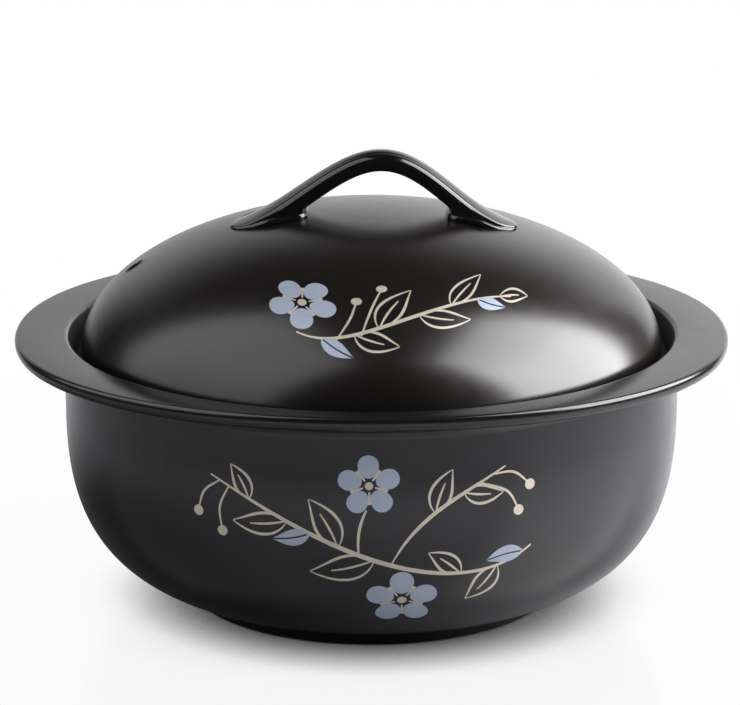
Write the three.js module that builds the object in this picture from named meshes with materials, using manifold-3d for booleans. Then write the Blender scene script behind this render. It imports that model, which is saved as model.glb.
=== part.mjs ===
// A round ceramic casserole pot with an oval rim, a domed lid and a strap handle.
// The bowl, its foot ring and the rim with its two ears are one fired piece. The lid is a
// thin dome that drops onto a ledge inside the rim. Its handle was pressed by itself and
// stuck to the dome with slip, so it is a piece of its own that moves with the lid.
// Millimetres, +Z up. The origin is on the standing face, under the middle of the bowl.
// The ears point along X, and the front is towards -Y.

import * as THREE from 'three';
import { mergeVertices } from 'three/addons/utils/BufferGeometryUtils.js';
import Module from 'manifold-3d';

const wasm = await Module();
wasm.setup();

// Bowl, a straight wall that turns in over a full round heel
const bowlRadius = 129;
const rimHeight = 114.5;
const straightWallHeight = 28.1; // from the rim's top down to the start of the heel
const heelDatum = 2; // height at which the outside curve would meet the axis
const heelSidePower = 4.18;
const heelFloorPower = 2.72;
const wallThickness = 7.5;
const floorThickness = 8.2;

// Rim, a flat flange that widens into an ear at each end
const rimWidth = 9.4; // from the bowl's wall out to the lip, at the front and the back
const earLength = 11.1; // how much further each ear reaches
const rimPower = 2.12; // of the oval outline, where 2 is an ellipse and more is squarer
const rimThickness = 5.8;
const rimRootThickness = 7;
const rimTopRounding = 2.2;
const rimUnderRounding = 2.8;
const rimRootFillet = 5;
const rimRootShare = 0.8; // most of the flange's underside that the root fillet may take

// Gallery, the sunk ring inside the rim that takes the lid
const galleryWall = 4.8; // left between the gallery and the outside of the bowl
const galleryFlare = 3.4; // how much wider it is at the rim's top than at the ledge
const galleryFillet = 1.4;
const openingRounding = 2.5;
const ledgeDepth = 9;
const ledgeWidth = 5.3;
const ledgeThickness = 4;
const ledgeRounding = 1;
const ledgeBracketHeight = 9;

// Foot ring
const footRadius = 77.7;
const footWidth = 7;
const footTaper = 0.9;
const footRecess = 3;
const footRounding = 0.8;

// Lid, a dome with a ring under it that keeps it centred in the bowl
const lidClearance = 2.3; // from the lid's edge to the gallery's wall
const lidRise = 58.2;
const lidWall = 5.5;
const lidEdgeHeight = 1.5;
const seatGap = 0.3;
const lidRingDepth = 5;
const lidRingWidth = 4;
const lidRingClearance = 1.2;
const lidRingRounding = 1;

// Vent, pierced straight down through the lid
const ventInset = 22.4; // from the lid's edge
const ventDiameter = 7;
const ventBearing = Math.PI;

// Handle, an arched strap with a spread foot at each end
const handleSpan = 120.2;
const handleOffset = 0.9; // set by hand a little past the middle of the lid
const crownLean = 3.2; // the crown of the arch leans the same way
const handleRise = 25.3;
const handleWidth = 16.5;
const handleThickness = 7.8;
const handleCrown = 0.7;
const handleTopRounding = 2.8;
const handleUnderRounding = 1.8;
const handleGap = 0.3;
const archCove = 2; // where the arch's underside turns down into a foot
const footLength = 29.5;
const footFaceRun = 0.3; // how much the inner face of a foot leans
const footTopWidth = 19;
const footBaseWidth = 26;
const toeLength = 12.5;
const toeThickness = 1.7;

// Fineness of the curved faces
const turnSteps = 64;
const heelSteps = 11;
const domeSteps = 12;
const roundingSteps = 3;
const smallRoundingSteps = 2;
const ventSteps = 24;
const archSteps = 8;
const footSteps = 6;
const toeSteps = 6;
const cutOverrun = 2;

const blackGlaze = { color: 0x1d1b1e, roughness: 0.28, metalness: 0 };
const satinGlaze = { color: 0x211e1f, roughness: 0.4, metalness: 0 };
const glossGlaze = { color: 0x161517, roughness: 0.18, metalness: 0 };

// Heights and radii that follow from the sizes above
const shoulderHeight = rimHeight - straightWallHeight;
const ledgeHeight = rimHeight - ledgeDepth;
const galleryRadius = bowlRadius - galleryWall;
const ledgeRadius = galleryRadius - ledgeWidth;
const lidRadius = galleryRadius - lidClearance;
const lidSeatHeight = ledgeHeight + seatGap;
const lidWidestHeight = lidSeatHeight + lidEdgeHeight;
const lidRingRadius = ledgeRadius - lidRingClearance;
const lipRadius = bowlRadius + rimWidth;
const underRounding = Math.min(rimUnderRounding, rimThickness - rimTopRounding);
const rootFillet = Math.min(rimRootFillet, rimRootShare * (rimWidth - underRounding));
const footStart = handleSpan / 2 - footLength;
const toeStart = handleSpan / 2 - toeLength;

// Adds an arc to an outline. Angles are in degrees from the outward direction, upwards.
function addArc(outline, radius, height, rounding, from, to, steps = roundingSteps) {
  for (let step = 0; step <= steps; step += 1) {
    const angle = THREE.MathUtils.degToRad(THREE.MathUtils.lerp(from, to, step / steps));
    const along = radius + rounding * Math.cos(angle);
    outline.push(new THREE.Vector2(along, height + rounding * Math.sin(angle)));
  }
}

// Adds the bowl's curve between two turns, where 0 is its upright side and 90 its floor.
function addHeel(outline, radius, floorHeight, from, to, steps) {
  const depth = shoulderHeight - floorHeight;
  for (let step = 0; step <= steps; step += 1) {
    const turn = THREE.MathUtils.degToRad(THREE.MathUtils.lerp(from, to, step / steps));
    const side = Math.max(Math.cos(turn), 0) ** (2 / heelSidePower);
    const fall = Math.sin(turn) ** (2 / heelFloorPower);
    outline.push(new THREE.Vector2(radius * side, shoulderHeight - depth * fall));
  }
}

// Turns an outline round the Z axis.
function revolve(outline) {
  return new THREE.LatheGeometry(outline, turnSteps).rotateX(Math.PI / 2);
}

// Gives a geometry shared corners and leaves out the empty triangles at its poles.
function weld(geometry) {
  geometry.deleteAttribute('normal');
  geometry.deleteAttribute('uv');
  const welded = mergeVertices(geometry);
  const corners = Array.from(welded.index.array);
  const kept = [];
  for (let first = 0; first < corners.length; first += 3) {
    const [a, b, c] = corners.slice(first, first + 3);
    if (a !== b && b !== c && c !== a) {
      kept.push(a, b, c);
    }
  }
  welded.setIndex(kept);
  return welded;
}

function toSolid(geometry) {
  const welded = weld(geometry);
  const vertProperties = new Float32Array(welded.attributes.position.array);
  const triVerts = new Uint32Array(welded.index.array);
  return new wasm.Manifold(new wasm.Mesh({ numProp: 3, vertProperties, triVerts }));
}

function toGeometry(solid) {
  const mesh = solid.getMesh();
  const geometry = new THREE.BufferGeometry();
  geometry.setAttribute('position', new THREE.BufferAttribute(mesh.vertProperties, 3));
  geometry.setIndex(Array.from(mesh.triVerts));
  return geometry;
}

// Joins a row of rings of points into one closed skin. Each ring starts at a point from
// which the rest of it can be seen, so that a fan closes the two ends.
function loft(rings) {
  const count = rings[0].length;
  const lastRing = (rings.length - 1) * count;
  const triangles = [];
  for (let start = 0; start < lastRing; start += count) {
    for (let side = 0; side < count; side += 1) {
      const next = (side + 1) % count;
      triangles.push(start + side, start + next, start + count + next);
      triangles.push(start + side, start + count + next, start + count + side);
    }
  }
  for (let side = 1; side < count - 1; side += 1) {
    triangles.push(0, side + 1, side);
    triangles.push(lastRing, lastRing + side, lastRing + side + 1);
  }
  const geometry = new THREE.BufferGeometry();
  geometry.setFromPoints(rings.flat());
  geometry.setIndex(triangles);
  return geometry;
}

function makeMesh(name, geometry, look) {
  geometry.computeVertexNormals();
  const mesh = new THREE.Mesh(geometry, new THREE.MeshStandardMaterial(look));
  mesh.name = name;
  return mesh;
}

// The inside of the bowl and the gallery, from the middle of the floor to the rim's top
function insideOutline() {
  const outline = [];
  const innerRadius = bowlRadius - wallThickness;
  const underLedge = ledgeHeight - ledgeThickness;
  addHeel(outline, innerRadius, footRecess + floorThickness, 90, 0, heelSteps);
  outline.push(new THREE.Vector2(innerRadius, underLedge - ledgeBracketHeight));
  outline.push(new THREE.Vector2(ledgeRadius, underLedge));
  addArc(outline, ledgeRadius + ledgeRounding, ledgeHeight - ledgeRounding, ledgeRounding, 180, 90);
  // The gallery's wall leans out from the ledge and rolls over into the rim's top.
  const lean = Math.atan2(galleryFlare, ledgeDepth);
  const leanDegrees = THREE.MathUtils.radToDeg(lean);
  const coveRadius = galleryRadius - galleryFillet * (1 - Math.sin(lean)) / Math.cos(lean);
  addArc(outline, coveRadius, ledgeHeight + galleryFillet, galleryFillet, -90, -leanDegrees);
  const rollHeight = rimHeight - openingRounding;
  const wallTop = rollHeight + openingRounding * Math.sin(lean) - ledgeHeight;
  const rollRadius = galleryRadius + wallTop * Math.tan(lean) + openingRounding * Math.cos(lean);
  addArc(outline, rollRadius, rollHeight, openingRounding, 180 - leanDegrees, 90);
  return outline;
}

// The rim's lip, the underside of the flange and the fillet that runs into the bowl
function rimOutline() {
  const outline = [];
  const underCentre = rimHeight - rimThickness + underRounding;
  const rootHeight = rimHeight - rimRootThickness - rootFillet;
  addArc(outline, lipRadius - rimTopRounding, rimHeight - rimTopRounding, rimTopRounding, 90, 0);
  addArc(outline, lipRadius - underRounding, underCentre, underRounding, 0, -90);
  addArc(outline, bowlRadius + rootFillet, rootHeight, rootFillet, 90, 180);
  return outline;
}

// The outside of the bowl, the foot ring and the recess inside it, down to the axis
function outsideOutline() {
  const outline = [];
  const footTurn = Math.acos((footRadius / bowlRadius) ** (heelSidePower / 2));
  addHeel(outline, bowlRadius, heelDatum, 0, THREE.MathUtils.radToDeg(footTurn), heelSteps);
  const outerCentre = footRadius - footTaper - footRounding;
  const innerCentre = footRadius - footTaper - footWidth + footRounding;
  addArc(outline, outerCentre, footRounding, footRounding, 0, -90, smallRoundingSteps);
  addArc(outline, innerCentre, footRounding, footRounding, -90, -180, smallRoundingSteps);
  outline.push(new THREE.Vector2(innerCentre - 2 * footRounding, footRecess));
  outline.push(new THREE.Vector2(0, footRecess));
  return outline;
}

// Distance from the axis to the rim's oval outline, in the direction of a bearing
function rimReach(bearing) {
  const along = Math.abs(Math.cos(bearing)) / (lipRadius + earLength);
  const across = Math.abs(Math.sin(bearing)) / lipRadius;
  return (along ** rimPower + across ** rimPower) ** (-1 / rimPower);
}

// Draws the flange of a round pot out to the oval. The roll into the gallery and the root
// fillet stay where they are, the lip moves as it is, and only what lies between stretches.
function stretchRim(geometry) {
  const position = geometry.attributes.position;
  const still = bowlRadius + rootFillet;
  const carried = lipRadius - Math.max(rimTopRounding, underRounding);
  for (let index = 0; index < position.count; index += 1) {
    const x = position.getX(index);
    const y = position.getY(index);
    const radius = Math.hypot(x, y);
    const share = THREE.MathUtils.clamp((radius - still) / (carried - still), 0, 1);
    if (share > 0) {
      const growth = share * (rimReach(Math.atan2(y, x)) - lipRadius);
      position.setXY(index, x * (1 + growth / radius), y * (1 + growth / radius));
    }
  }
}

function makePotBody() {
  const outline = [...insideOutline(), ...rimOutline(), ...outsideOutline()];
  const geometry = weld(revolve(outline.reverse()));
  stretchRim(geometry);
  return makeMesh('pot_body', geometry, blackGlaze);
}

// Height of the lid's outside over a place that far from the axis
function domeHeight(distance) {
  return lidWidestHeight + lidRise * Math.sqrt(1 - (distance / lidRadius) ** 2);
}

// Adds a quarter of an ellipse that stands on the lid's widest plane.
function addDome(outline, radius, rise, from, to) {
  for (let step = 0; step <= domeSteps; step += 1) {
    const turn = THREE.MathUtils.degToRad(THREE.MathUtils.lerp(from, to, step / domeSteps));
    const along = radius * Math.max(Math.cos(turn), 0);
    outline.push(new THREE.Vector2(along, lidWidestHeight + rise * Math.sin(turn)));
  }
}

// The lid's section, from the middle of its inside round its edge to the top
function lidOutline() {
  const outline = [];
  const ringInside = lidRingRadius - lidRingWidth;
  const arcHeight = lidSeatHeight - lidRingDepth + lidRingRounding;
  const innerArc = ringInside + lidRingRounding;
  const outerArc = lidRingRadius - lidRingRounding;
  const edgeArc = lidRadius - lidEdgeHeight;
  addDome(outline, ringInside, lidRise - lidWall, 90, 0);
  addArc(outline, innerArc, arcHeight, lidRingRounding, 180, 270, smallRoundingSteps);
  addArc(outline, outerArc, arcHeight, lidRingRounding, -90, 0, smallRoundingSteps);
  outline.push(new THREE.Vector2(lidRingRadius, lidSeatHeight));
  addArc(outline, edgeArc, lidWidestHeight, lidEdgeHeight, -90, 0);
  addDome(outline, lidRadius, lidRise, 0, 90);
  return outline;
}

function makeLidShell() {
  const shell = toSolid(revolve(lidOutline()));
  const height = lidRise + 2 * cutOverrun;
  const pin = new THREE.CylinderGeometry(ventDiameter / 2, ventDiameter / 2, height, ventSteps);
  pin.rotateX(Math.PI / 2);
  const ventRadius = lidRadius - ventInset;
  const x = ventRadius * Math.cos(ventBearing);
  const y = ventRadius * Math.sin(ventBearing);
  pin.translate(x, y, lidWidestHeight + height / 2);
  return makeMesh('lid_shell', toGeometry(shell.subtract(toSolid(pin))), satinGlaze);
}

// Share of the arch's rise at a place along the handle, 1 at the crown and 0 at the toes
function archShare(along) {
  return (1 + Math.cos((2 * Math.PI * along) / handleSpan)) / 2;
}

// Share of a foot's width that is left as its toe rounds off
function toeShare(along) {
  const intoToe = THREE.MathUtils.clamp((Math.abs(along) - toeStart) / toeLength, 0, 1);
  return Math.sqrt(1 - intoToe * intoToe);
}

// Height of the strap's top above the dome under it
function strapHeight(along) {
  const height = toeThickness + (handleRise - toeThickness) * archShare(along);
  return height * Math.sqrt(toeShare(along));
}

function strapTop(along) {
  return domeHeight(Math.abs(along)) + strapHeight(along);
}

// Rise of the strap's top for each millimetre along the handle, before the toe
function strapSlope(along) {
  const turn = (2 * Math.PI * along) / handleSpan;
  const archSlope = -((handleRise - toeThickness) * Math.PI * Math.sin(turn)) / handleSpan;
  const domeSlope = (-lidRise * along) / (lidRadius * Math.sqrt(lidRadius ** 2 - along ** 2));
  return archSlope + domeSlope;
}

// Underside of the arch. It lies a strap's thickness under the top, measured square to the
// strap, and turns down in a cove where it reaches the foot.
function strapUnderside(along) {
  const intoCove = Math.max(Math.abs(along) - footStart + archCove, 0);
  const drop = archCove - Math.sqrt(Math.max(archCove ** 2 - intoCove ** 2, 0));
  return strapTop(along) - handleThickness * Math.hypot(1, strapSlope(along)) - drop;
}

// Half-widths of the strap's top and of its foot where it meets the dome
function planWidths(along) {
  const distance = Math.abs(along);
  const spread = THREE.MathUtils.smoothstep(distance, 0, toeStart);
  const flare = THREE.MathUtils.smoothstep(distance, footStart - archCove - toeLength, toeStart);
  const top = THREE.MathUtils.lerp(handleWidth, footTopWidth, spread) / 2;
  const base = THREE.MathUtils.lerp(handleWidth, footBaseWidth, flare) / 2;
  return { top: top * toeShare(along), base: base * toeShare(along) };
}

// Heights of the points up the side of a section, from its foot to the edge rounding
const sideHeightShares = [0, 0.1, 0.25, 0.45, 0.7];

// One upright section across the handle, as a ring of points that starts at the middle of
// its underside. Over a foot the sides sweep out to the dome in a hollow curve.
function handleSection(along, onFoot) {
  const place = along + handleOffset + crownLean * archShare(along);
  const widths = planWidths(along);
  const crown = strapTop(along);
  const rounding = Math.min(handleTopRounding, strapHeight(along) / 2, widths.top / 2);
  const shoulder = crown - handleCrown * (2 * widths.top / handleWidth) ** 2 - rounding;
  const dome = domeHeight(Math.hypot(along, widths.base));
  const low = onFoot ? Math.min(dome, shoulder) : strapUnderside(along);
  const bottom = onFoot ? low - cutOverrun : low;
  const base = onFoot ? widths.base : widths.top;
  const under = onFoot ? 0 : handleUnderRounding;
  const half = [[base - under, bottom]];
  for (const share of sideHeightShares) {
    const reach = widths.top + (base - widths.top) * (1 - share) ** 3;
    half.push([reach, THREE.MathUtils.lerp(low + under, shoulder, share)]);
  }
  for (let step = 0; step <= roundingSteps + 1; step += 1) {
    const angle = (step / (roundingSteps + 1)) * (Math.PI / 2);
    const reach = widths.top - rounding * (1 - Math.cos(angle));
    half.push([reach, shoulder + rounding * Math.sin(angle)]);
  }
  const right = half.map(([reach, height]) => new THREE.Vector3(place, reach, height));
  const left = half.map(([reach, height]) => new THREE.Vector3(place, -reach, height));
  const underside = new THREE.Vector3(place, 0, bottom);
  const top = new THREE.Vector3(place, 0, crown);
  return [underside, ...right, top, ...left.reverse()];
}

// Places of the sections from the middle of the handle to the toe
function handleStations() {
  const stations = [];
  const coveStart = footStart - archCove;
  for (let step = 0; step <= archSteps; step += 1) {
    stations.push({ along: (coveStart * step) / archSteps, onFoot: false });
  }
  for (let step = 1; step <= roundingSteps; step += 1) {
    const turn = (step / roundingSteps) * (Math.PI / 2);
    stations.push({ along: coveStart + archCove * Math.sin(turn), onFoot: false });
  }
  for (let step = 0; step <= footSteps; step += 1) {
    const along = THREE.MathUtils.lerp(footStart + footFaceRun, toeStart, step / footSteps);
    stations.push({ along, onFoot: true });
  }
  for (let step = 1; step < toeSteps; step += 1) {
    const turn = (step / toeSteps) * (Math.PI / 2);
    stations.push({ along: toeStart + toeLength * Math.sin(turn), onFoot: true });
  }
  return stations;
}

// A solid that fills the lid's outside and a skin over it, to cut the feet to the dome
function makeDomeCutter(skin) {
  const outline = [new THREE.Vector2(0, 0), new THREE.Vector2(lidRadius + skin, 0)];
  addDome(outline, lidRadius + skin, lidRise + skin, 0, 90);
  return toSolid(revolve(outline));
}

function makeLidHandle() {
  const right = handleStations();
  const left = right.slice(1).reverse().map(({ along, onFoot }) => ({ along: -along, onFoot }));
  const rings = [...left, ...right].map(({ along, onFoot }) => handleSection(along, onFoot));
  const geometry = toGeometry(toSolid(loft(rings)).subtract(makeDomeCutter(handleGap)));
  return makeMesh('lid_handle', geometry, glossGlaze);
}

const lid = new THREE.Group();
lid.add(makeLidShell(), makeLidHandle());

const casserole = new THREE.Group();
casserole.add(makePotBody(), lid);

export default casserole;
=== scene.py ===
import math
from functools import partial

import bpy
import numpy as np
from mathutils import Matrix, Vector


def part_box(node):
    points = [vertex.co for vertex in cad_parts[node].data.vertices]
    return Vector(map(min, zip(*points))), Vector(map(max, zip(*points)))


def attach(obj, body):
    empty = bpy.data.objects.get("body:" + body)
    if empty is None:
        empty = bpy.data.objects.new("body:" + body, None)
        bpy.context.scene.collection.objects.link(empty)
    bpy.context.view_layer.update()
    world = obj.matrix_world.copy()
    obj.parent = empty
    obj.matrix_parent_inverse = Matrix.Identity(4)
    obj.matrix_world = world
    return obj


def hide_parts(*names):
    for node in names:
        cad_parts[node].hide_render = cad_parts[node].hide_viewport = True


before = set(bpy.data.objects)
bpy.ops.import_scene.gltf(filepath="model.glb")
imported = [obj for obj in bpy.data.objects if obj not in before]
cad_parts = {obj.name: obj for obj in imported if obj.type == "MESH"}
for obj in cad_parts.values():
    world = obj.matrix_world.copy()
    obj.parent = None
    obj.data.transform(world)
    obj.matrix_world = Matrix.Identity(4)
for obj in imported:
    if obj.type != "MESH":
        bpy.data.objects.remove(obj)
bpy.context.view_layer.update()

bl_info = {
    "name": "Glazed casserole pot",
    "version": (1, 0, 0),
    "blender": (4, 5, 0),
    "location": "3D View > Sidebar > Casserole",
    "description": "Gives a stoneware casserole pot its glazes, ornament, light and camera",
    "category": "Add Mesh",
}

MM = 0.001
POT_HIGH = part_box("pot_body")[1]
LID_LOW, LID_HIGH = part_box("lid_shell")
HANDLE_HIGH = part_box("lid_handle")[1]
FRONT = -math.pi / 2
# Sockets of a Mix node that mixes colours
MIX_A, MIX_B, MIX_RESULT = 6, 7, 2
# The toe's arc in radians ends short of a quarter turn, so that its last section has a width
TOE_TURN = 1.52


def length(name, description, default):
    """A property that holds a real length in metres."""
    return bpy.props.FloatProperty(
        name=name, description=description, default=default, unit="LENGTH", precision=5
    )


def number(name, description, default):
    """A property that holds a plain number."""
    return bpy.props.FloatProperty(name=name, description=description, default=default)


def linear(code):
    """The linear colour of an sRGB hex code, with full alpha."""
    shares = np.array([int(code[place:place + 2], 16) for place in (1, 3, 5)]) / 255
    curved = np.where(shares > 0.04045, ((shares + 0.055) / 1.055) ** 2.4, shares / 12.92)
    return (*(float(share) for share in curved), 1.0)


def colour(name, description, code):
    """A property that holds a colour, given as an sRGB hex code."""
    return bpy.props.FloatVectorProperty(
        name=name,
        description=description,
        default=linear(code),
        size=4,
        min=0,
        max=1,
        subtype="COLOR",
    )


class PotSizes(bpy.types.PropertyGroup):
    """Sizes of the bowl, its rim, the sunk gallery for the lid and the foot ring."""

    rim_height: length("Rim height", "Top of the rim above the table", POT_HIGH.z)
    lip_radius: length("Lip radius", "Axis to the lip at the front and back", POT_HIGH.y)
    ear_length: length("Ear length", "How much further each ear reaches", POT_HIGH.x - POT_HIGH.y)
    rim_power: number("Rim power", "2 makes the rim's outline an ellipse, more is squarer", 2.12)
    rim_thickness: length("Rim thickness", "Thickness of the flange at its lip", 5.8 * MM)
    root_thickness: length("Root thickness", "Thickness of the flange at the bowl", 7 * MM)
    root_fillet: length("Root fillet", "Radius between the flange and the bowl", 5 * MM)
    lip_top: length("Lip top rounding", "Radius of the lip's upper edge", 1.5 * MM)
    lip_under: length("Lip under rounding", "Radius of the lip's lower edge", 4.0 * MM)
    bowl_radius: length("Bowl radius", "Outside radius of the bowl's upright wall", 129 * MM)
    straight_wall: length("Straight wall", "Rim's top down to the start of the heel", 28.1 * MM)
    heel_datum: length("Heel datum", "Height where the outside would meet the axis", 2 * MM)
    heel_side: number("Heel side power", "Fullness of the heel towards the wall", 4.18)
    heel_floor: number("Heel floor power", "Fullness of the heel towards the floor", 2.72)
    wall: length("Wall", "Thickness of the bowl's wall", 7.5 * MM)
    floor: length("Floor", "Thickness of the bowl's floor", 8.2 * MM)
    gallery_wall: length("Gallery wall", "Left outside the gallery", 4.8 * MM)
    gallery_flare: length("Gallery flare", "How much wider it is at the rim's top", 3.4 * MM)
    gallery_fillet: length("Gallery fillet", "Radius between the gallery and its ledge", 1.4 * MM)
    opening_rounding: length("Opening rounding", "Radius of the roll into the rim", 2.5 * MM)
    ledge_depth: length("Ledge depth", "Rim's top down to the ledge", 9 * MM)
    ledge_width: length("Ledge width", "Width of the ledge that the lid sits on", 5.3 * MM)
    ledge_thickness: length("Ledge thickness", "Thickness of the ledge's edge", 4 * MM)
    bracket: length("Bracket", "Height of the slope under the ledge", 9 * MM)
    foot_radius: length("Foot radius", "Outside radius of the foot ring at its top", 77.7 * MM)
    foot_width: length("Foot width", "Width of the foot ring", 7 * MM)
    foot_taper: length("Foot taper", "How much the foot ring draws in", 0.9 * MM)
    foot_recess: length("Foot recess", "Height of the floor inside the foot ring", 3 * MM)
    glaze_rounding: length("Glaze rounding", "Radius that glaze gives a fired edge", 0.8 * MM)
    turns: bpy.props.IntProperty(name="Turns", description="Faces round the pot", default=288)


class LidSizes(bpy.types.PropertyGroup):
    """Sizes of the domed lid, its locating ring and its vent."""

    radius: length("Lid radius", "Axis to the lid's edge", LID_HIGH.y)
    top: length("Lid top", "Height of the dome's top above the table", LID_HIGH.z)
    ring_bottom: length("Ring bottom", "Height of the locating ring's lower edge", LID_LOW.z)
    ring_depth: length("Ring depth", "How far the locating ring reaches down", 5 * MM)
    edge_height: length("Edge height", "Radius of the lid's lower edge", 1.5 * MM)
    wall: length("Wall", "Thickness of the dome at its top", 5.5 * MM)
    ring_radius: length("Ring radius", "Outside radius of the locating ring", 117.7 * MM)
    ring_width: length("Ring width", "Width of the locating ring", 4 * MM)
    ring_rounding: length("Ring rounding", "Radius of the locating ring's edges", 1 * MM)
    vent_inset: length("Vent inset", "Lid's edge to the middle of the vent", 22.4 * MM)
    vent_radius: length("Vent radius", "Radius of the vent's bore", 3.5 * MM)
    vent_roll: length("Vent roll", "Radius of the vent's glazed edge", 0.5 * MM)
    vent_lip: length("Vent lip", "Height of the glaze that gathers round the vent", 0.2 * MM)
    vent_reach: length("Vent reach", "Radius of the ground that the vent's lip takes", 5.8 * MM)
    turns: bpy.props.IntProperty(name="Turns", description="Faces round the lid", default=320)


class HandleSizes(bpy.types.PropertyGroup):
    """Sizes of the strap handle, its arch and its two spread feet."""

    span: length("Span", "Toe to toe", 120.2 * MM)
    offset: length("Offset", "Middle of the handle past the middle of the lid", 0.9 * MM)
    lean: length("Lean", "How far the crown leans the same way", 3.2 * MM)
    rise: length("Rise", "Lid's top to the top of the arch", HANDLE_HIGH.z - LID_HIGH.z)
    width: length("Width", "Width of the strap at the crown", 16.5 * MM)
    thickness: length("Thickness", "Thickness of the strap", 7.8 * MM)
    crown: length("Crown", "How much the strap's top is domed", 0.7 * MM)
    top_rounding: length("Top rounding", "Radius of the strap's upper edges", 3.8 * MM)
    under_rounding: length("Under rounding", "Radius of the strap's lower edges", 1.8 * MM)
    cove: length("Cove", "Radius where the arch turns down into a foot", 2 * MM)
    foot_length: length("Foot length", "Length of each foot on the lid", 29.5 * MM)
    foot_face: length("Foot face", "How far the foot's inner face slopes", 0.3 * MM)
    foot_top: length("Foot top width", "Width of the strap over a foot", 19 * MM)
    foot_base: length("Foot base width", "Width of a foot on the lid", 26 * MM)
    foot_corner: length("Foot corner", "Radius of the slip round a foot's corners", 3.5 * MM)
    toe_length: length("Toe length", "Length of the rounded toe", 12.5 * MM)
    toe_thickness: length("Toe thickness", "Height of the strap where its toe starts", 1.7 * MM)
    sink: length("Sink", "How far the fired joint lies under the lid's glaze", 0.4 * MM)
    fillet: length("Fillet", "Radius of the slip that seals each foot to the lid", 2.6 * MM)


class FinishColours(bpy.types.PropertyGroup):
    """Colours of the glazes, the bare clay, the fired ornament and the table."""

    pot: colour("Pot glaze", "Black glaze of the bowl, a little blue", "#121214")
    thin: colour("Thin glaze", "Where black glaze runs thin over an edge", "#16120f")
    lid: colour("Lid glaze", "Satin black glaze of the dome, a little brown", "#110e0d")
    handle: colour("Handle glaze", "Deep black glaze of the handle", "#0c0c0d")
    clay: colour("Bare clay", "Fired stoneware where the glaze was wiped off", "#776350")
    lustre: colour("Lustre", "Champagne lustre of the lines", "#cfc6b6")
    enamel: colour("Enamel", "Pale blue enamel of the blossoms", "#a3aec0")
    # The table's tone gets a painted shadow near the pot's left and paler painted light further out
    table: colour("Table", "Pale table of the studio, as the glaze mirrors it", "#959598")


class StageSettings(bpy.types.PropertyGroup):
    """Floor, light and camera of the studio."""

    floor_radius: length("Floor radius", "Radius of the round table", 0.42)
    elevation: bpy.props.FloatProperty(
        name="Camera elevation",
        description="Angle of the camera above the table",
        default=math.radians(15.15),
        unit="ROTATION",
    )
    distance: length("Camera distance", "Camera to the point that it aims at", 1.519)
    aim_height: length("Aim height", "Height of the point that the camera aims at", 103.4 * MM)
    aim_side: length("Aim side", "How far left of the pot's axis the camera aims", 0.6 * MM)
    lens: number("Lens", "Focal length of the camera in mm", 175.1)
    key: number("Key panel", "Radiance of the large panel on the right, as the glaze sees it", 13.5)
    side: number("Left panel", "Radiance of the panel on the left, as the glaze sees it", 2.0)
    wall: number("Wall", "Radiance of each half of the wall, as the glaze sees it", 0.64)
    fill: number("Fill", "Radiance of the room that lights matt surfaces", 0.4)
    dark: number("Dark room", "Radiance of the rest of the room, as the glaze sees it", 0.03)


def add_node(tree, kind, inputs=None, output=0, **settings):
    """Adds a shader node and returns an output of it, or several for a slice, if it has any.

    inputs maps an input's name or number to a value or to the output that feeds it.
    """
    node = tree.nodes.new("ShaderNode" + kind)
    for name, value in settings.items():
        setattr(node, name, value)
    for name, value in (inputs or {}).items():
        if isinstance(value, bpy.types.NodeSocket):
            tree.links.new(value, node.inputs[name])
        else:
            node.inputs[name].default_value = value
    return node.outputs[output] if node.outputs else None


def emptied(block):
    """Empties the node tree of a material or world, and returns add_node for that tree."""
    block.use_nodes = True
    block.node_tree.nodes.clear()
    return partial(add_node, block.node_tree)


def shaded(tone, share):
    """A colour made darker or paler by a share."""
    return (*(min(part * share, 1.0) for part in tone[:3]), 1.0)


def glaze_relief(add, place, ripple, ripple_height):
    """Bump of a fired glaze: soft orange peel, and pinholes where gas left it.

    A pinhole is a round dip about 0.5 mm across at the middle of a cell. Its floor and its edge
    are shares of the cell.
    """
    cell, dip_floor, dip_edge, dip_depth = 7 * MM, 0.02, 0.045, 0.05 * MM
    swell = add("TexNoise", {"Vector": place, "Scale": 1 / ripple, "Detail": 1.0})
    peel = add("Bump", {"Height": swell, "Distance": ripple_height})
    cells = add("TexVoronoi", {"Vector": place, "Scale": 1 / cell})
    dip = add("MapRange", {0: cells, 1: dip_floor, 2: dip_edge})
    return add("Bump", {"Height": dip, "Distance": dip_depth, "Normal": peel})


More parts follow.
